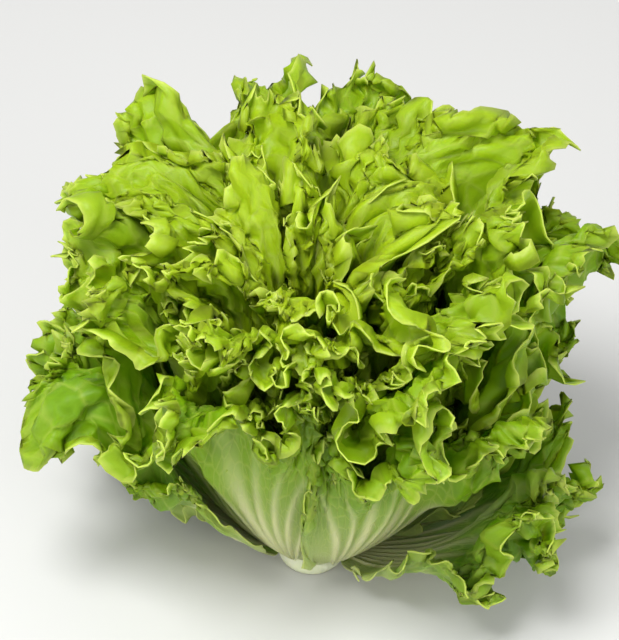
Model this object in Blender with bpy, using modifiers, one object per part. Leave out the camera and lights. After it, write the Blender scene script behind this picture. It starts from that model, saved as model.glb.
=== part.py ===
"""A head of lollo bionda lettuce, cut for sale and standing on its butt.

The head is a short stem with a spiral of separate leaves. Every leaf lies on a shell of its own: the
shells are nested one in the next, like bowls that turn over outwards at their rims, so leaves on them never
meet. Broad folds are one field for the whole head, which neighbours share. The ruffles of each margin stand
up and down from the blade, and are lowered wherever they would touch another leaf.
Metres, +Z up, the origin at the middle of the cut face, the photographed side towards -Y.
"""

import math
import random

import bpy
import numpy as np
from mathutils.bvhtree import BVHTree

MM = 0.001

# The stem: a stub with a flat cut foot
STEM_FOOT_RADIUS = 12.5 * MM
STEM_RADIUS = 15 * MM
STEM_WAIST = 5 * MM
STEM_HEIGHT = 52 * MM
STEM_TOP_SHARE = 0.36
STEM_SIDES = 24

# The spiral of leaves, from the lowest and outermost (order 0) to the heart (order 1)
SPIRAL = 25
STRIPPED = (2,)
GOLDEN_ANGLE = math.radians(137.508)
FIRST_AZIMUTH = math.radians(78)
LOWEST_ROOT = 4 * MM
ROOT_CLIMB = 40 * MM
ROOT_GAP = 1.2 * MM

# How steep the ribs stand, how far the margins bend over outwards, and how long the leaves are, by order
ORDERS = (-0.2, 0.0, 0.1, 0.2, 0.35, 0.55, 0.78, 1.0, 1.2)
RISES = (-16, 14, 34, 49, 62, 74, 86, 98, 104)
FLARES = (34, 38, 48, 62, 76, 84, 86, 84, 80)
LENGTHS = (92, 100, 122, 148, 168, 175, 166, 144, 130)
FRONT_LENGTH = -0.06
BACK_LENGTH = 0.18
SIDE_LENGTH = 0.08
RIGHT_LENGTH = 0.10
FRONT_RAISE = 42
RAISED_SIDE = math.radians(4)
ROOT_DROP = 24
FLARE_FROM = 0.62
FLARE_TO = 1.2

# The margins of the widest leaves turn in again towards a rim
FREE_RADIUS = 98 * MM
SOFT_RIM = 44 * MM

# Folds shared by the whole head: waves round it, height as a share of the orders, turn by order and by length, and
# the order by which they have died away
FOLDS = ((4, 0.040, 3.1, 1.0, 1.3), (9, 0.055, -6.6, 3.5, 1.2), (17, 0.045, 7.0, -4.5, 0.9), (26, 0.020, -8.1, 5.0, 0.7))
SWINGS = ((3, 0.08, 5.0, 1.5), (7, 0.04, -8.0, -2.0))
CURLS = ((3, 0.20, 1.5), (8, 0.25, -2.0))

# Lobes of each leaf stand outwards, as far as the next leaf outside it: that is the third one before it in the
# spiral, and the second on the side where that one reaches
SLAB = 3
SLAB_BESIDE = 2
BESIDE = (math.radians(12), math.radians(21))
LOBE_SHARE = 0.5
LOBE_DEPTH = 60 * MM
LOBE_COLUMNS = 5.3

# Ruffles of the margin: columns to half a wave, height either way, and how far in they reach
WIDE_RUFFLE = (3.1, 7.5 * MM, 36 * MM)
MEDIUM_RUFFLE = (1.6, 4.0 * MM, 20 * MM)
FINE_RUFFLE = (1.0, 1.2 * MM, 11 * MM)
OVERHANG = 0.45
TOOTH = 3.0 * MM
FULL_COLUMN = 3.2 * MM

# How wide the leaves are, and how far round the head they can reach
WIDTH_SHARE = 0.80
HEART_WIDTH_SHARE = 0.32
MOST_TURN = math.radians(63)
HEART_MOST_TURN = math.radians(115)
ROOT_HALF_ANGLE = math.radians(24)

# Rings of the blade from root to margin: share of the way out, and the part of the margin's columns they have
RINGS = ((0.0, 8), (0.22, 8), (0.46, 4), (0.7, 2), (0.87, 1), (1.0, 1))
COLUMNS = ((0.73, 64), (0.86, 48), (1.1, 24))
WIDEST_RAY = math.radians(62)
SPREAD_RAYS = 0.3

BLADE_THICKNESS = 1.1 * MM
RIB_THICKNESS = 2.4 * MM

PROFILE_STEPS = 20

# Blades keep above the surface that the head stands on
LOW = 14 * MM
LOWEST = 1.2 * MM

# Where leaves touch, the inner one's ruffles give way by this share a round
CLEARANCE = 0.3 * MM
YIELD = 0.25
YIELD_INWARDS = 0.25
MOST_YIELD = 5.0
YIELD_ROUNDS = 120


def smooth(x, low, high):
    """0 up to low, 1 from high, and an S between them."""
    s = np.clip((np.asarray(x, float) - low) / (high - low), 0.0, 1.0)
    return s * s * (3.0 - 2.0 * s)


def stem_radius(z):
    """The stem bulges just above its cut foot, then tapers to the heart."""
    foot = STEM_FOOT_RADIUS + (STEM_RADIUS - STEM_FOOT_RADIUS) * np.sin(np.minimum(z / STEM_WAIST, 1.0) * math.pi / 2)
    taper = np.maximum(z - STEM_WAIST, 0.0) / (STEM_HEIGHT - STEM_WAIST)
    return foot * (1.0 - (1.0 - STEM_TOP_SHARE) * taper)


def by_order(order, values):
    """A value that changes smoothly with the order: the mean of straight steps over a short stretch."""
    return sum(np.interp(order + d, ORDERS, values) for d in (-0.06, -0.03, 0.0, 0.03, 0.06)) / 5


def leaf_length(order, azimuth):
    toward = ((1.0 + np.cos(azimuth)) / 2.0) ** 1.5
    away = ((1.0 - np.cos(azimuth)) / 2.0) ** 1.5
    middle = 4.0 * order * (1.0 - order)
    right = ((1.0 + np.cos(azimuth - math.radians(80))) / 2.0) ** 3
    outer = np.clip(1.0 - order, 0.0, 1.0)
    spread = FRONT_LENGTH * toward + BACK_LENGTH * middle * away
    spread = spread + (SIDE_LENGTH * np.sin(azimuth) ** 2 + RIGHT_LENGTH * right) * outer
    return by_order(order, LENGTHS) * MM * (1.0 + spread)


def lean(order, azimuth, share):
    """Angle above the horizontal of shell `order` at a share of its length, in radians."""
    root = ROOT_DROP * (1.0 - smooth(share, 0.0, 0.5))
    curl = 1.0
    for waves, height, twist in CURLS:
        curl = curl + height * np.sin(waves * azimuth + twist * order)
    flare = by_order(order, FLARES) * curl * smooth(share, FLARE_FROM, FLARE_TO)
    toward = ((1.0 + np.cos(azimuth + RAISED_SIDE)) / 2.0) ** 1.5
    raised = FRONT_RAISE * np.maximum(1.0 - order, 0.0) ** 2 * toward
    return np.radians(by_order(order, RISES) + raised - root - flare)


def on_shell(order, azimuth, share):
    """Radius and height of shell `order`, a share of its length up from its root on the stem."""
    root = np.clip(order, 0.0, 1.0)
    z = LOWEST_ROOT + ROOT_CLIMB * root**1.4
    r = stem_radius(z) + ROOT_GAP
    step = share / PROFILE_STEPS
    length = leaf_length(order, azimuth)
    for i in range(PROFILE_STEPS):
        angle = lean(order, azimuth, (i + 0.5) * step)
        r = r + step * length * np.cos(angle)
        z = z + step * length * np.sin(angle)
    return r, z


def in_head(order, azimuth, share, calmed=0.0):
    """The point of the head at an order, azimuth and share of the length. The shared folds shift one of the three
    at a time, so no two points meet."""
    grown = smooth(share, 0.2, 0.85) * (1.0 - calmed)
    for waves, height, turn, climb, end in FOLDS:
        calm = 1.0 - smooth(order, end - 0.5, end)
        order = order + grown * calm * height * np.sin(waves * azimuth + turn * order + climb * share)
    for waves, height, turn, climb in SWINGS:
        azimuth = azimuth + grown * height * np.sin(waves * azimuth + turn * order + climb * share)
    r, z = on_shell(order, azimuth, share)
    r = np.where(r > FREE_RADIUS, FREE_RADIUS + SOFT_RIM * np.tanh((r - FREE_RADIUS) / SOFT_RIM), r)
    return np.stack([r * np.sin(azimuth), -r * np.cos(azimuth), z], axis=-1)


def wobble(column, random_phases):
    """A slow, uneven swing along the margin, between about -1 and 1."""
    first, second = random_phases
    return 0.6 * np.sin(2 * math.pi * column / 9.7 + first) + 0.4 * np.sin(2 * math.pi * column / 5.3 + second)


def columns_of(index):
    """How many columns a leaf's margin has, each a crest or a trough of its finest ruffle."""
    return next(columns for below, columns in COLUMNS if index / (SPIRAL - 1) < below)


def blade_points(index, ring, column, yielded, calmed):
    """Points of a leaf's middle surface without the ruffles of its margin, and how far each is from the margin."""
    order = index / (SPIRAL - 1)
    azimuth = FIRST_AZIMUTH + GOLDEN_ANGLE * index
    chance = random.Random(index + 1)
    phases = [chance.uniform(0, 2 * math.pi) for _ in range(8)]
    ray = 2 * (column + 0.45 * wobble(column, phases[0:2])) / columns_of(index) - 1
    angle = WIDEST_RAY * ray * (1 - SPREAD_RAYS + SPREAD_RAYS * ray**2)
    reach = 1 - 0.10 * (angle / WIDEST_RAY) ** 2 - 0.45 * (angle / WIDEST_RAY) ** 6
    reach = reach + 0.07 * (np.sin(5.1 * ray + phases[2]) + np.sin(12.3 * ray + phases[7])) * (1 - ray**4)
    share = ring * reach * np.cos(angle)
    r, _ = on_shell(order, azimuth, share)
    length = leaf_length(order, azimuth)
    width = WIDTH_SHARE + (HEART_WIDTH_SHARE - WIDTH_SHARE) * smooth(order, 0.6, 1.0)
    across = ring * reach * length * np.sin(angle) * width
    turn = across / r + ray * ROOT_HALF_ANGLE * (1 - smooth(ring, 0.0, 0.6))
    most_turn = MOST_TURN + (HEART_MOST_TURN - MOST_TURN) * smooth(order, 0.7, 1.0)
    turn = most_turn * np.tanh(turn / most_turn)
    from_margin = (1 - ring) * reach * length
    lobe = 0.5 + 0.5 * np.sin(math.pi * column / LOBE_COLUMNS + 1.4 * wobble(column, phases[3:5]))
    lobe = LOBE_SHARE * lobe * np.clip(1 - from_margin / LOBE_DEPTH, 0, 1) ** 1.2
    lobe = lobe * np.maximum(1 - yielded, 0) - YIELD_INWARDS * np.maximum(yielded - 1, 0)
    slab = (SLAB + (SLAB_BESIDE - SLAB) * smooth(turn, *BESIDE)) / (SPIRAL - 1)
    return in_head(order - slab * lobe, azimuth + turn, share, calmed), from_margin


def unit(vectors):
    return vectors / np.maximum(np.linalg.norm(vectors, axis=-1, keepdims=True), 1e-9)


def leaf_points(index, ring, column, yielded=0.0, calmed=0.0):
    """Points of a leaf's middle surface. ring runs from 0 at the root to 1 at the margin, and column round the margin
    from one side of the rib to the other. yielded lowers the ruffles where another leaf needs the room: at 1 they
    are gone, and beyond it the blade moves inwards. calmed takes away the shared folds."""
    ring, column = np.broadcast_arrays(np.asarray(ring, float), np.asarray(column, float))
    chance = random.Random(index + 101)
    phases = [chance.uniform(0, 2 * math.pi) for _ in range(4)]
    given = (yielded, calmed)
    points, from_margin = blade_points(index, ring, column, *given)
    outwards = blade_points(index, ring + 0.01, column, *given)[0] - blade_points(index, ring - 0.01, column, *given)[0]
    along = blade_points(index, ring, column + 0.25, *given)[0] - blade_points(index, ring, column - 0.25, *given)[0]
    free = np.clip(np.linalg.norm(along, axis=-1) / (0.5 * FULL_COLUMN), 0, 1) * np.maximum(1 - yielded, 0)
    outwards, along = unit(outwards), unit(along)
    facing = unit(np.cross(outwards, along))

    reaches = [np.clip(1 - from_margin / depth, 0, 1) ** 1.3 for _, _, depth in (WIDE_RUFFLE, MEDIUM_RUFFLE, FINE_RUFFLE)]
    wide = WIDE_RUFFLE[1] * reaches[0]
    medium = MEDIUM_RUFFLE[1] * reaches[1]
    wide_swing = math.pi * column / WIDE_RUFFLE[0] + 1.6 * wobble(column, phases[0:2])
    medium_swing = math.pi * column / MEDIUM_RUFFLE[0] + 2.0 * wobble(column * 1.7, phases[2:4])
    fine_swing = math.pi * column / FINE_RUFFLE[0]
    up = wide * np.sin(wide_swing) + medium * np.sin(medium_swing) + FINE_RUFFLE[1] * reaches[2] * np.cos(fine_swing)
    aside = -OVERHANG * (wide * np.sin(2 * wide_swing) + medium * np.sin(2 * medium_swing))
    tooth = TOOTH * reaches[2] * (np.cos(fine_swing + 0.8) + np.cos(medium_swing + 1.1)) / 2
    points = points + facing * (up * free)[..., None] + along * (aside * free)[..., None]
    points = points + outwards * (tooth * free)[..., None]

    z = points[..., 2]
    lifted = LOWEST + (LOW - LOWEST) * np.exp(np.minimum((z - LOW) / (LOW - LOWEST), 0))
    points[..., 2] = np.where(z < LOW, lifted, z)
    return points


def ring_net(columns):
    """The blade's net: (ring, column) of each point, and its triangles. Rings have unlike numbers of points,
    and each is stitched to the next, which has as many or twice as many."""
    points, rows, triangles = [], [], []
    for ring, part in RINGS:
        rows.append([len(points) + i for i in range(columns // part + 1)])
        points += [(ring, i * part) for i in range(columns // part + 1)]
    for low, high in zip(rows, rows[1:]):
        ratio = (len(high) - 1) // (len(low) - 1)
        for i in range(len(low) - 1):
            a, b = low[i], low[i + 1]
            tops = high[i * ratio:(i + 1) * ratio + 1]
            if ratio == 1:
                triangles += [(a, b, tops[1]), (a, tops[1], tops[0])] if i % 2 else [(a, b, tops[0]), (b, tops[1], tops[0])]
            else:
                triangles += [(a, tops[1], tops[0]), (a, b, tops[1]), (b, tops[2], tops[1])]
    return points, triangles


def new_material(name, colour, roughness):
    material = bpy.data.materials.new(name)
    material.use_nodes = True
    shader = material.node_tree.nodes["Principled BSDF"]
    shader.inputs["Base Color"].default_value = (*colour, 1)
    shader.inputs["Roughness"].default_value = roughness
    return material


def add_leaf(collection, index, material):
    net, triangles = ring_net(columns_of(index))
    rings, columns = np.array(net).T
    points = leaf_points(index, rings, columns)
    mesh = bpy.data.meshes.new(f"leaf_{index + 1:02d}")
    mesh.from_pydata(points.tolist(), [], triangles)
    mesh.materials.append(material)
    leaf = bpy.data.objects.new(mesh.name, mesh)
    collection.objects.link(leaf)
    rib = leaf.vertex_groups.new(name="thickness")
    for i, (ring, column) in enumerate(net):
        ray = 2 * column / columns_of(index) - 1
        thick = (1 - ring) ** 2 * (1 - ray**2)
        rib.add([i], BLADE_THICKNESS / RIB_THICKNESS * (1 - thick) + thick, "REPLACE")
    solidify = leaf.modifiers.new("blade", "SOLIDIFY")
    solidify.thickness = RIB_THICKNESS
    solidify.offset = 0
    solidify.vertex_group = rib.name
    return leaf


def solid_tree(leaf, graph):
    """A search tree of the leaf's solid, and the corners of its triangles."""
    solid = leaf.evaluated_get(graph).to_mesh()
    solid.calc_loop_triangles()
    triangles = [tuple(t.vertices) for t in solid.loop_triangles]
    return BVHTree.FromPolygons([v.co.copy() for v in solid.vertices], triangles), np.array(triangles)


def meeting_corners(one, other):
    """The corners of the triangles where one leaf meets the other, or itself: those of the one, and of the other."""
    pairs = np.array(one[0].overlap(other[0]), int).reshape(-1, 2)
    first, second = one[1][pairs[:, 0]], other[1][pairs[:, 1]]
    if one is other:
        apart = ~(first[:, :, None] == second[:, None, :]).any(axis=(1, 2))
        first, second = first[apart], second[apart]
    return first.ravel(), second.ravel()


def make_room(leaves):
    """Where leaves touch, their ruffles are lowered a little, and then the inner one moves inwards, over and over
    until none touch."""
    nets = {index: np.array(ring_net(columns_of(index))[0]).T for index in leaves}
    yielded = {index: np.zeros(len(nets[index][0])) for index in leaves}
    calmed = {index: np.zeros(len(nets[index][0])) for index in leaves}
    for leaf in leaves.values():
        leaf.modifiers["blade"].thickness = RIB_THICKNESS + CLEARANCE
    trees = {}
    moved = set(leaves)
    for _ in range(YIELD_ROUNDS):
        bpy.context.view_layer.update()
        graph = bpy.context.evaluated_depsgraph_get()
        for index in moved:
            trees[index] = solid_tree(leaves[index], graph)
        touched = {index: ([], []) for index in leaves}
        for inner in leaves:
            for outer in leaves:
                if outer <= inner and {outer, inner} & moved:
                    first, second = meeting_corners(trees[outer], trees[inner])
                    touched[outer][0].extend(first)
                    touched[inner][0 if inner == outer else 1].extend(second)
        moved = set()
        for index, (rings, columns) in nets.items():
            for corners, most in zip(touched[index], (1.0, MOST_YIELD)):
                places = np.unique(corners).astype(int) % len(rings)
                if len(places):
                    gaps = np.abs(columns[:, None] - columns[None, places]) / 2.0
                    gaps = gaps + np.abs(rings[:, None] - rings[None, places]) / 0.2
                    near = np.clip(1.0 - gaps.min(axis=1) / 1.5, 0.0, 1.0)
                    calmed[index] = np.minimum(calmed[index] + YIELD * near * (yielded[index] >= most), 1.0)
                    yielded[index] = np.where(yielded[index] < most, yielded[index] + YIELD * near, yielded[index])
                    moved.add(index)
            if index in moved:
                points = leaf_points(index, rings, columns, yielded[index], calmed[index])
                leaves[index].data.vertices.foreach_set("co", points.ravel())
                leaves[index].data.update()
        if not moved:
            break
    for leaf in leaves.values():
        leaf.modifiers["blade"].thickness = RIB_THICKNESS


def add_stem(collection, material):
    heights = np.linspace(STEM_HEIGHT, 0, 9)
    profile = [(0.0, STEM_HEIGHT + 2 * MM)] + [(stem_radius(z), z) for z in heights] + [(0.0, 0.0)]
    mesh = bpy.data.meshes.new("stem")
    mesh.from_pydata([(r, 0, z) for r, z in profile], [(i, i + 1) for i in range(len(profile) - 1)], [])
    mesh.materials.append(material)
    stem = bpy.data.objects.new("stem", mesh)
    collection.objects.link(stem)
    screw = stem.modifiers.new("turned", "SCREW")
    screw.steps = screw.render_steps = STEM_SIDES
    screw.use_merge_vertices = True
    screw.merge_threshold = 0.0001
    return stem


def main():
    for thing in list(bpy.data.objects):
        bpy.data.objects.remove(thing)
    head = bpy.data.collections.new("lollo_bionda_lettuce")
    bpy.context.scene.collection.children.link(head)
    add_stem(head, new_material("stem", (0.62, 0.70, 0.40), 0.5))
    blade = new_material("leaf", (0.36, 0.56, 0.08), 0.5)
    leaves = {index: add_leaf(head, index, blade) for index in range(SPIRAL) if index not in STRIPPED}
    make_room(leaves)


main()
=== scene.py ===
import math
import random

import bpy
import numpy as np
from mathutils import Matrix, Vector
from mathutils.bvhtree import BVHTree


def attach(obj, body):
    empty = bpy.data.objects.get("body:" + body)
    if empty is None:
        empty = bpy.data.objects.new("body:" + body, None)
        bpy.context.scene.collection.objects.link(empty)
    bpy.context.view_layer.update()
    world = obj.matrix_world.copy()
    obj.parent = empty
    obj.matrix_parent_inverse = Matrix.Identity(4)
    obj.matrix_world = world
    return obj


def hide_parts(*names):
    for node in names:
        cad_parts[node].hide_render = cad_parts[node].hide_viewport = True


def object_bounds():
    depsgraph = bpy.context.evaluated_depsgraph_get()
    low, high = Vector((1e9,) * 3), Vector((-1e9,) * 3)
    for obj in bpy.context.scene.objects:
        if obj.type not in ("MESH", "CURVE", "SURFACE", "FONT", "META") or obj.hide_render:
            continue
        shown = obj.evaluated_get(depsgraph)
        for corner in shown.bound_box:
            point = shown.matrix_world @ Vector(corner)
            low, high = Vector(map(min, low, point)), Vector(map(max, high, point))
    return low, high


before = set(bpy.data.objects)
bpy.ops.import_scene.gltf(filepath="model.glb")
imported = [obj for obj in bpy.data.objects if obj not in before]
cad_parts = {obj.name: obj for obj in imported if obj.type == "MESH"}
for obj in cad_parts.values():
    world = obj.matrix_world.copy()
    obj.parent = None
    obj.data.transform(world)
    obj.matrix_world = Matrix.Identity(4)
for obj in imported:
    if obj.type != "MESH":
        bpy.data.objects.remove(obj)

MM = 0.001
solid_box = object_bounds()


# The stem. The head's short white stem is cut straight through just under the lowest leaves, so its foot is a
# flat disc: a moist pith with a ring of vessels in a firmer rind, dried to a light brown at the cut edge. Leaf
# scars and fibres run up its side.

STEM_FOOT_RADIUS = 12.5 * MM
STEM_RADIUS = 15 * MM
STEM_WAIST = 5 * MM
STEM_HEIGHT = 52 * MM
STEM_TOP_SHARE = 0.36
STEM_SIDES = 24
PROFILE_POINTS = 40
TURNS = 120
SCAR_DEPTH = 0.35 * MM
FIBRE_DEPTH = 0.12 * MM
PITH_GREENISH = (0.62, 0.68, 0.42, 1)
PITH_PALE = (0.74, 0.76, 0.56, 1)
DRIED_BROWN = (0.36, 0.24, 0.10, 1)


class Wire:
    """A node's output. Sums, products and powers of wires and numbers add Math nodes to its tree."""

    def __init__(self, tree, socket):
        self.tree = tree
        self.socket = socket

    def operate(self, operation, first, second=0.0):
        return add_node(self.tree, "ShaderNodeMath", {"operation": operation}, {0: first, 1: second})

    def __add__(self, other):
        return self.operate("ADD", self, other)

    def __radd__(self, other):
        return self.operate("ADD", other, self)

    def __sub__(self, other):
        return self.operate("SUBTRACT", self, other)

    def __rsub__(self, other):
        return self.operate("SUBTRACT", other, self)

    def __mul__(self, other):
        return self.operate("MULTIPLY", self, other)

    def __rmul__(self, other):
        return self.operate("MULTIPLY", other, self)

    def __truediv__(self, other):
        return self.operate("DIVIDE", self, other)

    def __rtruediv__(self, other):
        return self.operate("DIVIDE", other, self)

    def __pow__(self, other):
        return self.operate("POWER", self, other)

    def __abs__(self):
        return self.operate("ABSOLUTE", self)

    def between_0_and_1(self):
        return add_node(self.tree, "ShaderNodeClamp", {}, {"Value": self})


def add_node(tree, kind, settings, sockets, output=0):
    """Adds a node: its settings first, then the values or links of its sockets. Returns one output as a Wire."""
    node = tree.nodes.new(kind)
    for name, value in settings.items():
        setattr(node, name, value)
    for name, value in sockets.items():
        if isinstance(value, Wire):
            tree.links.new(value.socket, node.inputs[name])
        else:
            node.inputs[name].default_value = value
    return Wire(tree, node.outputs[output])


def mixed(tree, share, first, second):
    """Colour between two colours."""
    return add_node(tree, "ShaderNodeMix", {"data_type": "RGBA"}, {0: share, 6: first, 7: second}, 2)


def new_material(name, roughness, **constants):
    """A material with its Principled shader's constants set, and the shader."""
    material = bpy.data.materials.new(name)
    material.use_nodes = True
    shader = material.node_tree.nodes["Principled BSDF"]
    shader.inputs["Roughness"].default_value = roughness
    for name, value in constants.items():
        shader.inputs[name.replace("_", " ").title()].default_value = value
    return material, shader


def finish_piece(piece, slot, *nodes):
    """The piece rides on the object's one body and stands for these solids."""
    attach(piece, "root")
    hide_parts(*nodes)


def stem_radius(z):
    """The stem bulges just above its cut foot, then tapers to the heart."""
    bulge = np.sin(np.minimum(z / STEM_WAIST, 1.0) * math.pi / 2)
    foot = STEM_FOOT_RADIUS + (STEM_RADIUS - STEM_FOOT_RADIUS) * bulge
    taper = np.maximum(z - STEM_WAIST, 0.0) / (STEM_HEIGHT - STEM_WAIST)
    return foot * (1.0 - (1.0 - STEM_TOP_SHARE) * taper)


turned_profile = [(0.0, STEM_HEIGHT + 2 * MM)]
for height in np.linspace(STEM_HEIGHT, 0.6 * MM, PROFILE_POINTS):
    turned_profile.append((float(stem_radius(height)), float(height)))
foot_radius = float(stem_radius(0.0))
turned_profile += [(foot_radius - 0.25 * MM, 0.15 * MM), (foot_radius - 0.8 * MM, 0.0)]
turned_profile += [(foot_radius * share, 0.0) for share in (0.8, 0.6, 0.4, 0.2)] + [(0.0, 0.0)]

stem_mesh = bpy.data.meshes.new("cut_stem")
stem_points = []
for r, z in turned_profile[1:-1]:
    for i in range(TURNS):
        angle = 2 * math.pi * i / TURNS
        scarred = SCAR_DEPTH * math.sin(5 * angle + 900 * z) * math.sin(min(z / (6 * MM), 1.0) * math.pi / 2)
        fibre = FIBRE_DEPTH * math.sin(31 * angle) * math.sin(min(z / (3 * MM), 1.0) * math.pi / 2)
        out = r + scarred + fibre
        stem_points.append((out * math.sin(angle), -out * math.cos(angle), z))
stem_points.append((0.0, 0.0, turned_profile[0][1]))
stem_points.append((0.0, 0.0, 0.0))
rows = len(turned_profile) - 2
stem_faces = []
for row in range(rows - 1):
    for i in range(TURNS):
        j = (i + 1) % TURNS
        stem_faces.append((row * TURNS + j, row * TURNS + i, (row + 1) * TURNS + i, (row + 1) * TURNS + j))
for i in range(TURNS):
    j = (i + 1) % TURNS
    stem_faces.append((rows * TURNS, i, j))
    stem_faces.append((rows * TURNS + 1, (rows - 1) * TURNS + j, (rows - 1) * TURNS + i))
stem_mesh.from_pydata(stem_points, [], stem_faces)
stem_mesh.shade_smooth()
cut_stem = bpy.data.objects.new("cut_stem", stem_mesh)
bpy.context.scene.collection.objects.link(cut_stem)

pith, pith_shader = new_material("stem_pith", 0.45, subsurface_weight=0.25, subsurface_scale=0.004)
pith_shader.inputs["Subsurface Radius"].default_value = (1.0, 0.9, 0.4)
tree = pith.node_tree
place = add_node(tree, "ShaderNodeTexCoord", {}, {}, "Object")
height = add_node(tree, "ShaderNodeSeparateXYZ", {}, {"Vector": place}, "Z")
from_axis = add_node(tree, "ShaderNodeVectorMath", {"operation": "LENGTH"}, {0: place}, "Value")
fibres = add_node(tree, "ShaderNodeTexNoise", {}, {"Vector": place, "Scale": 420.0, "Detail": 4.0})
stains = add_node(tree, "ShaderNodeTexNoise", {}, {"Vector": place, "Scale": 140.0, "Detail": 3.0})
flesh = mixed(tree, stains, PITH_GREENISH, PITH_PALE)
on_side = (height / 0.004).between_0_and_1()
cut_edge = (1 - abs(from_axis - 0.0118) / 0.0016).between_0_and_1() * (1 - on_side)
vessels = (1 - abs(from_axis - 0.0078) / 0.0012).between_0_and_1() * (1 - on_side)
browned = mixed(tree, (cut_edge * 0.75 + vessels * 0.45) * (0.4 + stains), flesh, DRIED_BROWN)
tree.links.new(browned.socket, pith_shader.inputs["Base Color"])
bumped = add_node(tree, "ShaderNodeBump", {}, {"Strength": 0.35, "Distance": 0.0005, "Height": fibres})
tree.links.new(bumped.socket, pith_shader.inputs["Normal"])
stem_mesh.materials.append(pith)
finish_piece(cut_stem, "stem", "stem")


# The leaves. Each grows from its own place on the stem, a golden angle round from the one before, with a broad
# pale rib that thins into a fan of veins. The blade is thin and soft, and its margin grows faster than the rest,
# so it lies in folds, the folds in ruffles, and the ruffles in fine crisp curls with small teeth.

# The spiral of leaves, from the lowest and outermost (order 0) to the heart (order 1)
SPIRAL = 25
STRIPPED = (2,)
GOLDEN_ANGLE = math.radians(137.508)
FIRST_AZIMUTH = math.radians(78)
LOWEST_ROOT = 4 * MM
ROOT_CLIMB = 40 * MM
ROOT_GAP = 1.2 * MM

# How steep the ribs stand, how far the margins bend over outwards, and how long the leaves are, by order
ORDERS = (-0.2, 0.0, 0.1, 0.2, 0.35, 0.55, 0.78, 1.0, 1.2)
RISES = (-16, 14, 34, 49, 62, 74, 86, 98, 104)
FLARES = (34, 38, 48, 62, 76, 84, 86, 84, 80)
LENGTHS = (92, 100, 122, 148, 168, 175, 166, 144, 130)
FRONT_LENGTH = -0.06
BACK_LENGTH = 0.18
SIDE_LENGTH = 0.08
RIGHT_LENGTH = 0.10
FRONT_RAISE = 42
RAISED_SIDE = math.radians(4)
ROOT_DROP = 24
FLARE_FROM = 0.62
FLARE_TO = 1.2

# The margins of the widest leaves turn in again towards a rim
FREE_RADIUS = 98 * MM
SOFT_RIM = 44 * MM

# Folds shared by the whole head: waves round it, height as a share of the orders, turn by order and by length,
# and the order by which they have died away. Swings do the same sideways, and curls in how far margins bend over
FOLDS = (
    (4, 0.040, 3.1, 1.0, 1.3),
    (9, 0.055, -6.6, 3.5, 1.2),
    (17, 0.045, 7.0, -4.5, 0.9),
    (26, 0.020, -8.1, 5.0, 0.7),
)
SWINGS = ((3, 0.08, 5.0, 1.5), (7, 0.04, -8.0, -2.0))
CURLS = ((3, 0.20, 1.5), (8, 0.25, -2.0))

# Lobes of each leaf stand outwards, as far as the next leaf outside it: that is the third one before it in
# the spiral, and the second on the side where that one reaches
SLAB = 3
SLAB_BESIDE = 2
BESIDE = (math.radians(12), math.radians(21))
LOBE_SHARE = 0.5
LOBE_DEPTH = 60 * MM
LOBE_COLUMNS = 5.3

# Ruffles of the margin: columns to half a wave, height either way, and how far in they reach
WIDE_RUFFLE = (3.1, 7.5 * MM, 36 * MM)
MEDIUM_RUFFLE = (1.6, 4.0 * MM, 20 * MM)
FINE_RUFFLE = (1.0, 1.2 * MM, 11 * MM)
OVERHANG = 0.45
TOOTH = 3.0 * MM
FULL_COLUMN = 3.2 * MM

# How wide the leaves are, and how far round the head they can reach
WIDTH_SHARE = 0.80
HEART_WIDTH_SHARE = 0.32
MOST_TURN = math.radians(63)
HEART_MOST_TURN = math.radians(115)
ROOT_HALF_ANGLE = math.radians(24)

# Rings of the blade from root to margin: share of the way out, and the part of the margin's columns they have
RINGS = ((0.0, 8), (0.22, 8), (0.46, 4), (0.7, 2), (0.87, 1), (1.0, 1))
COLUMNS = ((0.73, 64), (0.86, 48), (1.1, 24))
WIDEST_RAY = math.radians(62)
SPREAD_RAYS = 0.3

BLADE_THICKNESS = 1.1 * MM
RIB_THICKNESS = 2.4 * MM

PROFILE_STEPS = 20

# Blades keep above the surface that the head stands on
LOW = 14 * MM
LOWEST = 1.2 * MM

# Where leaves touch, the ruffles of both give way by this share a round, and once they are gone the inner leaf
# moves inwards, until this clearance is left
CLEARANCE = 0.3 * MM
YIELD = 0.25
YIELD_INWARDS = 0.25
MOST_YIELD = 5.0
YIELD_ROUNDS = 120

# The look of the leaf: points to a column of the margin at each ring, veins as a place across the leaf and a
# width, and the sizes of its crumples, curls, blisters, points and teeth: a height and a length of each
FINE_RINGS = (
    (0.0, 1.5), (0.07, 1.5), (0.14, 1.5), (0.21, 1.5), (0.28, 3), (0.34, 3), (0.40, 3), (0.46, 3), (0.51, 3),
    (0.56, 6), (0.60, 6), (0.64, 6), (0.68, 6), (0.715, 6), (0.75, 6), (0.78, 6), (0.81, 6), (0.835, 6), (0.86, 6),
    (0.88, 6), (0.9, 6), (0.92, 6), (0.94, 6), (0.955, 6), (0.97, 6), (0.985, 6), (1.0, 6),
)
VEINS = (
    (0.0, 0.09), (-0.20, 0.04), (0.20, 0.04), (-0.40, 0.05), (0.40, 0.05), (-0.60, 0.035), (0.60, 0.035),
    (-0.82, 0.04), (0.82, 0.04),
)
MARGIN_THICKNESS = 0.6 * MM
MIDRIB_THICKNESS = 3.4 * MM
SIZES = {
    "Crumple height": 4.8 * MM, "Crumple length": 8.0 * MM, "Curl height": 3.2 * MM, "Curl length": 4.0 * MM,
    "Blister height": 2.0 * MM, "Blister length": 4.4 * MM, "Point height": 8.0 * MM, "Point spacing": 7.5 * MM,
    "Tooth height": 5.0 * MM, "Tooth spacing": 3.0 * MM,
}
COLUMN_WIDTH = 4.0 * MM

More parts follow.
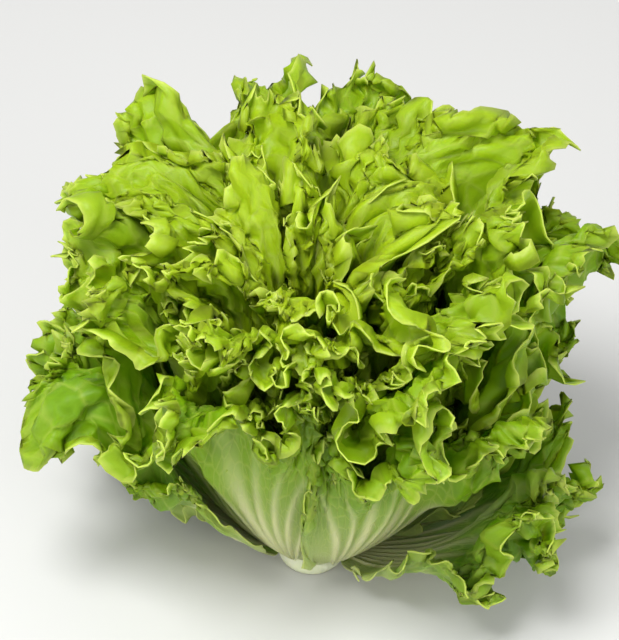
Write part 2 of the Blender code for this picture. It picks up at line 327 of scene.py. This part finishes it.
# How far in from the margin crumples, curls, points and teeth reach, and how far out from the cut foot the blade
# lies smooth and how far it takes to crumple fully
CRUMPLE_REACH = 95 * MM
CURL_REACH = 28 * MM
POINT_REACH = 9 * MM
TOOTH_REACH = 4 * MM
SMOOTH_TO = 60 * MM
FREE_AFTER = 50 * MM

# Curls may stand this far out of the solids' box, and press against the floor from this height down
ROOM = 4.0 * MM
PRESSED = 2.4 * MM

# Greens of the blade, and how far in the paler ones reach from its margin and out from the foot
DEEP_GREEN = (0.066, 0.175, 0.001, 1)
LEAF_GREEN = (0.155, 0.305, 0.001, 1)
HEART_GREEN = (0.285, 0.42, 0.005, 1)
VEIN_GREEN = (0.29, 0.38, 0.045, 1)
MARGIN_GREEN = (0.28, 0.385, 0.012, 1)
RIM_GREEN = (0.46, 0.56, 0.10, 1)
RIB_PALE = (0.50, 0.52, 0.25, 1)
MARGIN_WIDTH = 16 * MM
RIM_WIDTH = 1.1 * MM
PALE_FROM = 18 * MM
PALE_WIDTH = 95 * MM


def smooth(x, low, high):
    """0 up to low, 1 from high, and an S between them."""
    s = np.clip((np.asarray(x, float) - low) / (high - low), 0.0, 1.0)
    return s * s * (3.0 - 2.0 * s)


def by_order(order, values):
    """A value that changes smoothly with the order: the mean of straight steps over a short stretch."""
    return sum(np.interp(order + d, ORDERS, values) for d in (-0.06, -0.03, 0.0, 0.03, 0.06)) / 5


def leaf_length(order, azimuth):
    toward = ((1.0 + np.cos(azimuth)) / 2.0) ** 1.5
    away = ((1.0 - np.cos(azimuth)) / 2.0) ** 1.5
    middle = 4.0 * order * (1.0 - order)
    right = ((1.0 + np.cos(azimuth - math.radians(80))) / 2.0) ** 3
    outer = np.clip(1.0 - order, 0.0, 1.0)
    spread = FRONT_LENGTH * toward + BACK_LENGTH * middle * away
    spread = spread + (SIDE_LENGTH * np.sin(azimuth) ** 2 + RIGHT_LENGTH * right) * outer
    return by_order(order, LENGTHS) * MM * (1.0 + spread)


def lean(order, azimuth, share):
    """Angle above the horizontal of shell `order` at a share of its length, in radians."""
    root = ROOT_DROP * (1.0 - smooth(share, 0.0, 0.5))
    curl = 1.0
    for waves, height, twist in CURLS:
        curl = curl + height * np.sin(waves * azimuth + twist * order)
    flare = by_order(order, FLARES) * curl * smooth(share, FLARE_FROM, FLARE_TO)
    toward = ((1.0 + np.cos(azimuth + RAISED_SIDE)) / 2.0) ** 1.5
    raised = FRONT_RAISE * np.maximum(1.0 - order, 0.0) ** 2 * toward
    return np.radians(by_order(order, RISES) + raised - root - flare)


def on_shell(order, azimuth, share):
    """Radius and height of shell `order`, a share of its length up from its root on the stem."""
    root = np.clip(order, 0.0, 1.0)
    z = LOWEST_ROOT + ROOT_CLIMB * root**1.4
    r = stem_radius(z) + ROOT_GAP
    step = share / PROFILE_STEPS
    length = leaf_length(order, azimuth)
    for i in range(PROFILE_STEPS):
        angle = lean(order, azimuth, (i + 0.5) * step)
        r = r + step * length * np.cos(angle)
        z = z + step * length * np.sin(angle)
    return r, z


def in_head(order, azimuth, share, calmed=0.0):
    """The point of the head at an order, azimuth and share of the length. The shared folds shift one of the
    three at a time, so no two points meet."""
    grown = smooth(share, 0.2, 0.85) * (1.0 - calmed)
    for waves, height, turn, climb, end in FOLDS:
        calm = 1.0 - smooth(order, end - 0.5, end)
        order = order + grown * calm * height * np.sin(waves * azimuth + turn * order + climb * share)
    for waves, height, turn, climb in SWINGS:
        azimuth = azimuth + grown * height * np.sin(waves * azimuth + turn * order + climb * share)
    r, z = on_shell(order, azimuth, share)
    r = np.where(r > FREE_RADIUS, FREE_RADIUS + SOFT_RIM * np.tanh((r - FREE_RADIUS) / SOFT_RIM), r)
    return np.stack([r * np.sin(azimuth), -r * np.cos(azimuth), z], axis=-1)


def wobble(column, random_phases):
    """A slow, uneven swing along the margin, between about -1 and 1."""
    first, second = random_phases
    return 0.6 * np.sin(2 * math.pi * column / 9.7 + first) + 0.4 * np.sin(2 * math.pi * column / 5.3 + second)


def columns_of(index):
    """How many columns a leaf's margin has, each a crest or a trough of its finest ruffle."""
    return next(columns for below, columns in COLUMNS if index / (SPIRAL - 1) < below)


def blade_points(index, ring, column, yielded, calmed):
    """Points of a leaf's middle surface without its margin's ruffles, and how far each is from the margin."""
    order = index / (SPIRAL - 1)
    azimuth = FIRST_AZIMUTH + GOLDEN_ANGLE * index
    chance = random.Random(index + 1)
    phases = [chance.uniform(0, 2 * math.pi) for _ in range(8)]
    ray = 2 * (column + 0.45 * wobble(column, phases[0:2])) / columns_of(index) - 1
    angle = WIDEST_RAY * ray * (1 - SPREAD_RAYS + SPREAD_RAYS * ray**2)
    reach = 1 - 0.10 * (angle / WIDEST_RAY) ** 2 - 0.45 * (angle / WIDEST_RAY) ** 6
    reach = reach + 0.07 * (np.sin(5.1 * ray + phases[2]) + np.sin(12.3 * ray + phases[7])) * (1 - ray**4)
    share = ring * reach * np.cos(angle)
    r, _ = on_shell(order, azimuth, share)
    length = leaf_length(order, azimuth)
    width = WIDTH_SHARE + (HEART_WIDTH_SHARE - WIDTH_SHARE) * smooth(order, 0.6, 1.0)
    across = ring * reach * length * np.sin(angle) * width
    turn = across / r + ray * ROOT_HALF_ANGLE * (1 - smooth(ring, 0.0, 0.6))
    most_turn = MOST_TURN + (HEART_MOST_TURN - MOST_TURN) * smooth(order, 0.7, 1.0)
    turn = most_turn * np.tanh(turn / most_turn)
    from_margin = (1 - ring) * reach * length
    lobe = 0.5 + 0.5 * np.sin(math.pi * column / LOBE_COLUMNS + 1.4 * wobble(column, phases[3:5]))
    lobe = LOBE_SHARE * lobe * np.clip(1 - from_margin / LOBE_DEPTH, 0, 1) ** 1.2
    lobe = lobe * np.maximum(1 - yielded, 0) - YIELD_INWARDS * np.maximum(yielded - 1, 0)
    slab = (SLAB + (SLAB_BESIDE - SLAB) * smooth(turn, *BESIDE)) / (SPIRAL - 1)
    return in_head(order - slab * lobe, azimuth + turn, share, calmed), from_margin


def unit(vectors):
    return vectors / np.maximum(np.linalg.norm(vectors, axis=-1, keepdims=True), 1e-9)


def leaf_points(index, ring, column, yielded=0.0, calmed=0.0):
    """Points of a leaf's middle surface. ring runs from 0 at the root to 1 at the margin, and column round the
    margin from one side of the rib to the other. yielded lowers the ruffles where another leaf needs the room:
    at 1 they are gone, and beyond it the blade moves inwards. calmed takes away the shared folds."""
    ring, column = np.broadcast_arrays(np.asarray(ring, float), np.asarray(column, float))
    chance = random.Random(index + 101)
    phases = [chance.uniform(0, 2 * math.pi) for _ in range(4)]
    given = (yielded, calmed)
    points, from_margin = blade_points(index, ring, column, *given)
    outwards = blade_points(index, ring + 0.01, column, *given)[0]
    outwards = outwards - blade_points(index, ring - 0.01, column, *given)[0]
    along = blade_points(index, ring, column + 0.25, *given)[0]
    along = along - blade_points(index, ring, column - 0.25, *given)[0]
    free = np.clip(np.linalg.norm(along, axis=-1) / (0.5 * FULL_COLUMN), 0, 1) * np.maximum(1 - yielded, 0)
    outwards, along = unit(outwards), unit(along)
    facing = unit(np.cross(outwards, along))

    depths = (WIDE_RUFFLE[2], MEDIUM_RUFFLE[2], FINE_RUFFLE[2])
    reaches = [np.clip(1 - from_margin / depth, 0, 1) ** 1.3 for depth in depths]
    wide = WIDE_RUFFLE[1] * reaches[0]
    medium = MEDIUM_RUFFLE[1] * reaches[1]
    wide_swing = math.pi * column / WIDE_RUFFLE[0] + 1.6 * wobble(column, phases[0:2])
    medium_swing = math.pi * column / MEDIUM_RUFFLE[0] + 2.0 * wobble(column * 1.7, phases[2:4])
    fine_swing = math.pi * column / FINE_RUFFLE[0]
    up = wide * np.sin(wide_swing) + medium * np.sin(medium_swing)
    up = up + FINE_RUFFLE[1] * reaches[2] * np.cos(fine_swing)
    aside = -OVERHANG * (wide * np.sin(2 * wide_swing) + medium * np.sin(2 * medium_swing))
    tooth = TOOTH * reaches[2] * (np.cos(fine_swing + 0.8) + np.cos(medium_swing + 1.1)) / 2
    points = points + facing * (up * free)[..., None] + along * (aside * free)[..., None]
    points = points + outwards * (tooth * free)[..., None]

    z = points[..., 2]
    lifted = LOWEST + (LOW - LOWEST) * np.exp(np.minimum((z - LOW) / (LOW - LOWEST), 0))
    points[..., 2] = np.where(z < LOW, lifted, z)
    return points


def stitched(rows):
    """Triangles between rings of points, each with as many points as the ring before or with twice as many."""
    triangles = []
    for low, high in zip(rows, rows[1:]):
        ratio = (len(high) - 1) // (len(low) - 1)
        for i in range(len(low) - 1):
            a, b = low[i], low[i + 1]
            tops = high[i * ratio:(i + 1) * ratio + 1]
            if ratio == 2:
                triangles += [(a, tops[1], tops[0]), (a, b, tops[1]), (b, tops[2], tops[1])]
            elif i % 2:
                triangles += [(a, b, tops[1]), (a, tops[1], tops[0])]
            else:
                triangles += [(a, b, tops[0]), (b, tops[1], tops[0])]
    return triangles


def ring_net(columns):
    """The rough blade's net: (ring, column) of each point, and its triangles."""
    points, rows = [], []
    for ring, part in RINGS:
        rows.append([len(points) + i for i in range(columns // part + 1)])
        points += [(ring, i * part) for i in range(columns // part + 1)]
    return points, stitched(rows)


def add_rough_leaf(index):
    """The leaf's plain solid before its ruffles give way, made the same as for the frame."""
    net, triangles = ring_net(columns_of(index))
    rings, columns = np.array(net).T
    mesh = bpy.data.meshes.new(f"rough_leaf_{index + 1:02d}")
    mesh.from_pydata(leaf_points(index, rings, columns).tolist(), [], triangles)
    leaf = bpy.data.objects.new(mesh.name, mesh)
    bpy.context.scene.collection.objects.link(leaf)
    rib = leaf.vertex_groups.new(name="thickness")
    for i, (ring, column) in enumerate(net):
        ray = 2 * column / columns_of(index) - 1
        thick = (1 - ring) ** 2 * (1 - ray**2)
        rib.add([i], BLADE_THICKNESS / RIB_THICKNESS * (1 - thick) + thick, "REPLACE")
    solidify = leaf.modifiers.new("blade", "SOLIDIFY")
    solidify.thickness = RIB_THICKNESS
    solidify.offset = 0
    solidify.vertex_group = rib.name
    return leaf


def solid_tree(leaf, graph):
    """A search tree of the leaf's solid, and the corners of its triangles."""
    solid = leaf.evaluated_get(graph).to_mesh()
    solid.calc_loop_triangles()
    triangles = [tuple(t.vertices) for t in solid.loop_triangles]
    return BVHTree.FromPolygons([v.co.copy() for v in solid.vertices], triangles), np.array(triangles)


def meeting_corners(one, other):
    """The corners of the triangles where one leaf meets the other, or itself: the one's, and the other's."""
    pairs = np.array(one[0].overlap(other[0]), int).reshape(-1, 2)
    first, second = one[1][pairs[:, 0]], other[1][pairs[:, 1]]
    if one is other:
        apart = ~(first[:, :, None] == second[:, None, :]).any(axis=(1, 2))
        first, second = first[apart], second[apart]
    return first.ravel(), second.ravel()


def make_room(leaves):
    """Where leaves touch, their ruffles are lowered a little, and then the inner one moves inwards, over and
    over until none touch."""
    nets = {index: np.array(ring_net(columns_of(index))[0]).T for index in leaves}
    yielded = {index: np.zeros(len(nets[index][0])) for index in leaves}
    calmed = {index: np.zeros(len(nets[index][0])) for index in leaves}
    for leaf in leaves.values():
        leaf.modifiers["blade"].thickness = RIB_THICKNESS + CLEARANCE
    trees = {}
    moved = set(leaves)
    for _ in range(YIELD_ROUNDS):
        bpy.context.view_layer.update()
        graph = bpy.context.evaluated_depsgraph_get()
        for index in moved:
            trees[index] = solid_tree(leaves[index], graph)
        touched = {index: ([], []) for index in leaves}
        for inner in leaves:
            for outer in leaves:
                if outer <= inner and {outer, inner} & moved:
                    first, second = meeting_corners(trees[outer], trees[inner])
                    touched[outer][0].extend(first)
                    touched[inner][0 if inner == outer else 1].extend(second)
        moved = set()
        for index, (rings, columns) in nets.items():
            for corners, most in zip(touched[index], (1.0, MOST_YIELD)):
                places = np.unique(corners).astype(int) % len(rings)
                if len(places):
                    gaps = np.abs(columns[:, None] - columns[None, places]) / 2.0
                    gaps = gaps + np.abs(rings[:, None] - rings[None, places]) / 0.2
                    near = np.clip(1.0 - gaps.min(axis=1) / 1.5, 0.0, 1.0)
                    calmed[index] = np.minimum(calmed[index] + YIELD * near * (yielded[index] >= most), 1.0)
                    giving = yielded[index] + YIELD * near
                    yielded[index] = np.where(yielded[index] < most, giving, yielded[index])
                    moved.add(index)
            if index in moved:
                points = leaf_points(index, rings, columns, yielded[index], calmed[index])
                leaves[index].data.vertices.foreach_set("co", points.ravel())
                leaves[index].data.update()
        if not moved:
            break
    return nets, yielded, calmed


def between_points(net, given, ring, column):
    """Values that belong to the points of a rough net, read in between them at any ring and column."""
    rows = np.unique(net[0])
    by_row = [np.interp(column, net[1][net[0] == row], given[net[0] == row]) for row in rows]
    by_row = np.stack(by_row)
    below = np.clip(np.searchsorted(rows, ring, side="right") - 1, 0, len(rows) - 2)
    share = np.clip((ring - rows[below]) / (rows[below + 1] - rows[below]), 0.0, 1.0)
    points = np.arange(len(ring))
    return by_row[below, points] * (1 - share) + by_row[below + 1, points] * share


def fine_net(columns):
    """The same fan of rings with the points of a leaf as it looks: (ring, column) of each, and triangles."""
    points, rows = [], []
    for ring, to_a_column in FINE_RINGS:
        count = int(columns * to_a_column)
        rows.append([len(points) + i for i in range(count + 1)])
        points += [(ring, i / to_a_column) for i in range(count + 1)]
    return points, stitched(rows)


def node_tree(name, numbers):
    """A Geometry Nodes tree with a geometry, a material and these number inputs: (tree, inputs by name)."""
    tree = bpy.data.node_groups.new(name, "GeometryNodeTree")
    tree.interface.new_socket("Geometry", in_out="INPUT", socket_type="NodeSocketGeometry")
    tree.interface.new_socket("Geometry", in_out="OUTPUT", socket_type="NodeSocketGeometry")
    tree.interface.new_socket("Material", in_out="INPUT", socket_type="NodeSocketMaterial")
    for number in numbers:
        tree.interface.new_socket(number, in_out="INPUT", socket_type="NodeSocketFloat")
    entry = tree.nodes.new("NodeGroupInput")
    return tree, {name: Wire(tree, entry.outputs[name]) for name in ("Geometry", "Material", *numbers)}


def made_mesh(piece, name):
    """The piece's evaluated mesh as a plain one, with its modifiers taken off."""
    bpy.context.view_layer.update()
    graph = bpy.context.evaluated_depsgraph_get()
    made = bpy.data.meshes.new_from_object(piece.evaluated_get(graph))
    piece.modifiers.clear()
    piece.data = made
    made.name = name
    return made


def attribute(tree, name, kind="FLOAT"):
    return add_node(tree, "GeometryNodeInputNamedAttribute", {"data_type": kind}, {"Name": name}, "Attribute")


def vector_maths(tree, operation, sockets):
    return add_node(tree, "ShaderNodeVectorMath", {"operation": operation}, sockets)


# The crisp blade: crumples and finer curls that grow towards the margin, points and teeth cut along it, and
# blisters between the veins
crisp, wires = node_tree("crisp_blade", (*SIZES, "Seed"))
along, inwards, rib, ring = (attribute(crisp, name) for name in ("along_margin", "from_margin", "rib", "ring"))
outwards = attribute(crisp, "outwards", "FLOAT_VECTOR")
facing = add_node(crisp, "GeometryNodeInputNormal", {}, {})


def blade_noise(length, detail, output=0):
    """Noise laid along the blade, a little longer along the margin than from margin to rib."""
    laid = {0: along / length, 1: inwards / length * 1.2, 2: wires["Seed"]}
    laid = add_node(crisp, "ShaderNodeCombineXYZ", {}, laid)
    return add_node(crisp, "ShaderNodeTexNoise", {}, {"Vector": laid, "Scale": 1.0, "Detail": detail}, output)


def saw(spacing, sharpness, unevenness):
    """Pointed teeth at this spacing along the margin: 1 at each tip, 0 in each notch."""
    beat = along / spacing + unevenness * 3
    return (add_node(crisp, "ShaderNodeMath", {"operation": "PINGPONG"}, {0: beat, 1: 0.5}) * 2) ** sharpness


place = add_node(crisp, "GeometryNodeInputPosition", {}, {})
from_foot = add_node(crisp, "ShaderNodeVectorMath", {"operation": "LENGTH"}, {0: place}, "Value")
free = ((from_foot - SMOOTH_TO) / FREE_AFTER).between_0_and_1()
outer = (ring * 2.6 - 1.0).between_0_and_1()
crumpled = outer * (1 - inwards / CRUMPLE_REACH).between_0_and_1() ** 0.8 * free
curled = (1 - inwards / CURL_REACH).between_0_and_1() ** 0.8 * free
rise = (blade_noise(wires["Crumple length"], 1.5) - 0.5) * 4 * wires["Crumple height"] * crumpled
rise = rise + (blade_noise(wires["Curl length"], 2.0) - 0.5) * 4 * wires["Curl height"] * curled
blisters = (blade_noise(wires["Blister length"], 2.0) - 0.5) * 4 * wires["Blister height"]
rise = rise + blisters * (1 - rib) * crumpled
push = vector_maths(crisp, "SCALE", {0: facing, "Scale": rise})
for name, reach in (("Crumple", crumpled), ("Curl", curled)):
    aside = blade_noise(wires[f"{name} length"] * 1.1, 0.5, "Color")
    aside = vector_maths(crisp, "SUBTRACT", {0: aside, 1: (0.5, 0.5, 0.5)})
    aside = vector_maths(crisp, "SCALE", {0: aside, "Scale": wires[f"{name} height"] * 2.5 * reach})
    push = vector_maths(crisp, "ADD", {0: push, 1: aside})
uneven = blade_noise(wires["Point spacing"] * 1.5, 0.0)
points = (saw(wires["Point spacing"], 1.3, uneven) - 0.4) * wires["Point height"]
points = points * (1 - inwards / POINT_REACH).between_0_and_1()
teeth = (saw(wires["Tooth spacing"], 1.8, uneven) - 0.3) * wires["Tooth height"]
teeth = teeth * (1 - inwards / TOOTH_REACH).between_0_and_1()
cut = vector_maths(crisp, "SCALE", {0: outwards, "Scale": (points + teeth) * (0.3 + uneven * 1.2) * free})
push = vector_maths(crisp, "ADD", {0: push, 1: cut})
moved = add_node(crisp, "GeometryNodeSetPosition", {}, {"Geometry": wires["Geometry"], "Offset": push})
real = add_node(crisp, "GeometryNodeRealizeInstances", {}, {"Geometry": moved})
dressed = add_node(crisp, "GeometryNodeSetMaterial", {}, {"Geometry": real, "Material": wires["Material"]})
crisp.links.new(dressed.socket, crisp.nodes.new("NodeGroupOutput").inputs["Geometry"])

blade, blade_shader = new_material("leaf_blade", 0.46, subsurface_weight=0.35, subsurface_scale=0.004)
blade_shader.inputs["Subsurface Radius"].default_value = (0.7, 1.0, 0.15)
blade_shader.inputs["Specular IOR Level"].default_value = 0.22
tree = blade.node_tree


def painted(name):
    return add_node(tree, "ShaderNodeAttribute", {"attribute_name": name}, {}, "Fac")


rib, inwards, order, along = (painted(name) for name in ("rib", "from_margin", "order", "along_margin"))
place = add_node(tree, "ShaderNodeTexCoord", {}, {}, "Object")
patches = add_node(tree, "ShaderNodeTexNoise", {}, {"Vector": place, "Scale": 45.0, "Detail": 3.0})
flat_place = add_node(tree, "ShaderNodeCombineXYZ", {}, {0: along * 160, 1: inwards * 100, 2: order * 50})
vein_cells = {"Vector": flat_place, "Scale": 1.0, "Randomness": 0.9}
mesh_of_veins = add_node(tree, "ShaderNodeTexVoronoi", {"feature": "DISTANCE_TO_EDGE"}, vein_cells, "Distance")
fine_veins = (1 - mesh_of_veins / 0.12).between_0_and_1()
green = mixed(tree, patches, DEEP_GREEN, LEAF_GREEN)
green = mixed(tree, (order * 1.2 - 0.1).between_0_and_1(), green, HEART_GREEN)
green = mixed(tree, fine_veins * 0.45, green, VEIN_GREEN)
near_rim = (1 - inwards / MARGIN_WIDTH).between_0_and_1()
green = mixed(tree, near_rim * 0.40, green, MARGIN_GREEN)
rim = (1 - inwards / RIM_WIDTH).between_0_and_1()
green = mixed(tree, rim * 0.7, green, RIM_GREEN)
from_foot = add_node(tree, "ShaderNodeVectorMath", {"operation": "LENGTH"}, {0: place}, "Value")
foot = (1 - (from_foot - PALE_FROM) / PALE_WIDTH).between_0_and_1()
pale = (rib * (0.40 + foot * 1.4) + foot ** 1.4 * 0.75).between_0_and_1()
coloured = mixed(tree, pale, green, RIB_PALE)
tree.links.new(coloured.socket, blade_shader.inputs["Base Color"])
grain = add_node(tree, "ShaderNodeTexNoise", {}, {"Vector": place, "Scale": 700.0, "Detail": 3.0})
relief = fine_veins * 0.6 + grain * 0.4
bumped = add_node(tree, "ShaderNodeBump", {}, {"Strength": 0.4, "Distance": 0.0005, "Height": relief})
tree.links.new(bumped.socket, blade_shader.inputs["Normal"])


def kept_within(places):
    """Curls press softly against the floor and against the head's own width, depth and height."""
    low, high = (np.array(corner) for corner in solid_box)
    places = np.where(places > high, high + ROOM * np.tanh((places - high) / ROOM), places)
    places[:, :2] = np.where(places < low, low - ROOM * np.tanh((low - places) / ROOM), places)[:, :2]
    height = places[:, 2]
    pressed = PRESSED * (0.25 + 0.75 * np.exp(np.minimum(height - PRESSED, 0) / (0.75 * PRESSED)))
    places[:, 2] = np.where(height < PRESSED, pressed, height)
    return places


rough_leaves = {index: add_rough_leaf(index) for index in range(SPIRAL) if index not in STRIPPED}
nets, yielded, calmed = make_room(rough_leaves)
for rough_leaf in rough_leaves.values():
    bpy.data.meshes.remove(rough_leaf.data)

for index in nets:
    net, triangles = fine_net(columns_of(index))
    rings, columns = np.array(net, float).T
    given_way = between_points(nets[index], yielded[index], rings, columns)
    given_way = np.where(given_way < 1, given_way**2, given_way)
    still = between_points(nets[index], calmed[index], rings, columns)
    points = leaf_points(index, rings, columns, given_way, still)
    smooth_points, from_margin = blade_points(index, rings, columns, given_way, still)
    further_out = blade_points(index, rings + 0.01, columns, given_way, still)[0]
    rays = 2 * columns / columns_of(index) - 1
    ribs = np.zeros(len(rings))
    for vein, width in VEINS:
        from_vein = (rays - vein * (0.6 + 0.4 * rings)) / (width * (1.15 - rings))
        ribs = np.maximum(ribs, np.exp(-(from_vein**2)))
    ribs = ribs * np.clip(1.25 - 1.3 * rings, 0, 1)

    mesh = bpy.data.meshes.new(f"crisp_leaf_{index + 1:02d}")
    mesh.from_pydata(points.tolist(), [], triangles)
    mesh.shade_smooth()
    by_point = {
        "ring": rings,
        "rib": ribs,
        "from_margin": from_margin,
        "order": np.full(len(rings), index / (SPIRAL - 1)),
        "along_margin": columns * COLUMN_WIDTH,
    }
    for name, numbers in by_point.items():
        mesh.attributes.new(name, "FLOAT", "POINT").data.foreach_set("value", numbers.astype(np.float32))
    directions = unit(further_out - smooth_points).astype(np.float32)
    mesh.attributes.new("outwards", "FLOAT_VECTOR", "POINT").data.foreach_set("vector", directions.ravel())
    leaf = bpy.data.objects.new(mesh.name, mesh)
    bpy.context.scene.collection.objects.link(leaf)
    thickness = leaf.vertex_groups.new(name="thickness")
    shares = MARGIN_THICKNESS + (MIDRIB_THICKNESS - MARGIN_THICKNESS) * ribs * (1 - rings) ** 0.7
    shares = np.clip(shares / MIDRIB_THICKNESS + 0.12 * (1 - rings), 0, 1)
    for i, share in enumerate(shares.tolist()):
        thickness.add([i], share, "REPLACE")
    crinkled = leaf.modifiers.new("crisp", "NODES")
    crinkled.node_group = crisp
    settings = {**SIZES, "Seed": 7.3 * index, "Material": blade}
    for item in crisp.interface.items_tree:
        if item.in_out == "INPUT" and item.name in settings:
            crinkled[item.identifier] = settings[item.name]
    solid = leaf.modifiers.new("blade", "SOLIDIFY")
    solid.thickness = MIDRIB_THICKNESS
    solid.offset = 0
    solid.vertex_group = thickness.name
    made = made_mesh(leaf, mesh.name)
    places = np.empty(len(made.vertices) * 3, np.float32)
    made.vertices.foreach_get("co", places)
    made.vertices.foreach_set("co", kept_within(places.reshape(-1, 3)).ravel())
    made.update()
    finish_piece(leaf, "leaf", f"leaf_{index + 1:02d}")


# The photograph's setting: a plain pale floor of matt paper under soft studio light, seen from the front and
# from well above the level of the floor, so that the cut foot and the heart both show.

FLOOR_SIZE = 8.0
AIM = (-0.001, 0.0, 0.1375)
DISTANCE = 1.1
LOOKING_DOWN = math.radians(38)
LENS = 145
PAPER_COLOUR = (0.60, 0.60, 0.59, 1)
DAYLIGHT = 0.66

floor_mesh = bpy.data.meshes.new("floor")
half = FLOOR_SIZE / 2
floor_corners = [(-half, -half, 0), (half, -half, 0), (half, half, 0), (-half, half, 0)]
floor_mesh.from_pydata(floor_corners, [], [(0, 1, 2, 3)])
floor = bpy.data.objects.new("floor", floor_mesh)
bpy.context.scene.collection.objects.link(floor)
paper, paper_shader = new_material("pale_floor", 0.8)
paper_shader.inputs["Base Color"].default_value = PAPER_COLOUR
floor_mesh.materials.append(paper)


def add_softbox(name, place, size, watts):
    """A square soft light that faces the head."""
    light = bpy.data.lights.new(name, "AREA")
    light.size = size
    light.energy = watts
    lamp = bpy.data.objects.new(name, light)
    bpy.context.scene.collection.objects.link(lamp)
    lamp.location = place
    lamp.rotation_euler = (Vector((0, 0, 0.1)) - Vector(place)).to_track_quat("-Z", "Y").to_euler()


add_softbox("softbox_above", (-0.4, -0.5, 1.6), 0.6, 27)
add_softbox("softbox_right", (1.2, -1.2, 0.7), 0.8, 11)
add_softbox("softbox_left", (-1.3, -1.0, 0.5), 0.8, 8)
world = bpy.data.worlds.new("studio")
bpy.context.scene.world = world
world.use_nodes = True
world.node_tree.nodes["Background"].inputs["Color"].default_value = (1.0, 1.0, 1.0, 1)
world.node_tree.nodes["Background"].inputs["Strength"].default_value = DAYLIGHT

camera_data = bpy.data.cameras.new("camera")
camera_data.lens = LENS
camera_data.sensor_width = 36
camera = bpy.data.objects.new("camera", camera_data)
bpy.context.scene.collection.objects.link(camera)
camera.location = Vector(AIM) + DISTANCE * Vector((0, -math.cos(LOOKING_DOWN), math.sin(LOOKING_DOWN)))
camera.rotation_euler = (math.pi / 2 - LOOKING_DOWN, 0, 0)
bpy.context.scene.camera = camera
bpy.context.scene.view_settings.view_transform = "Standard"
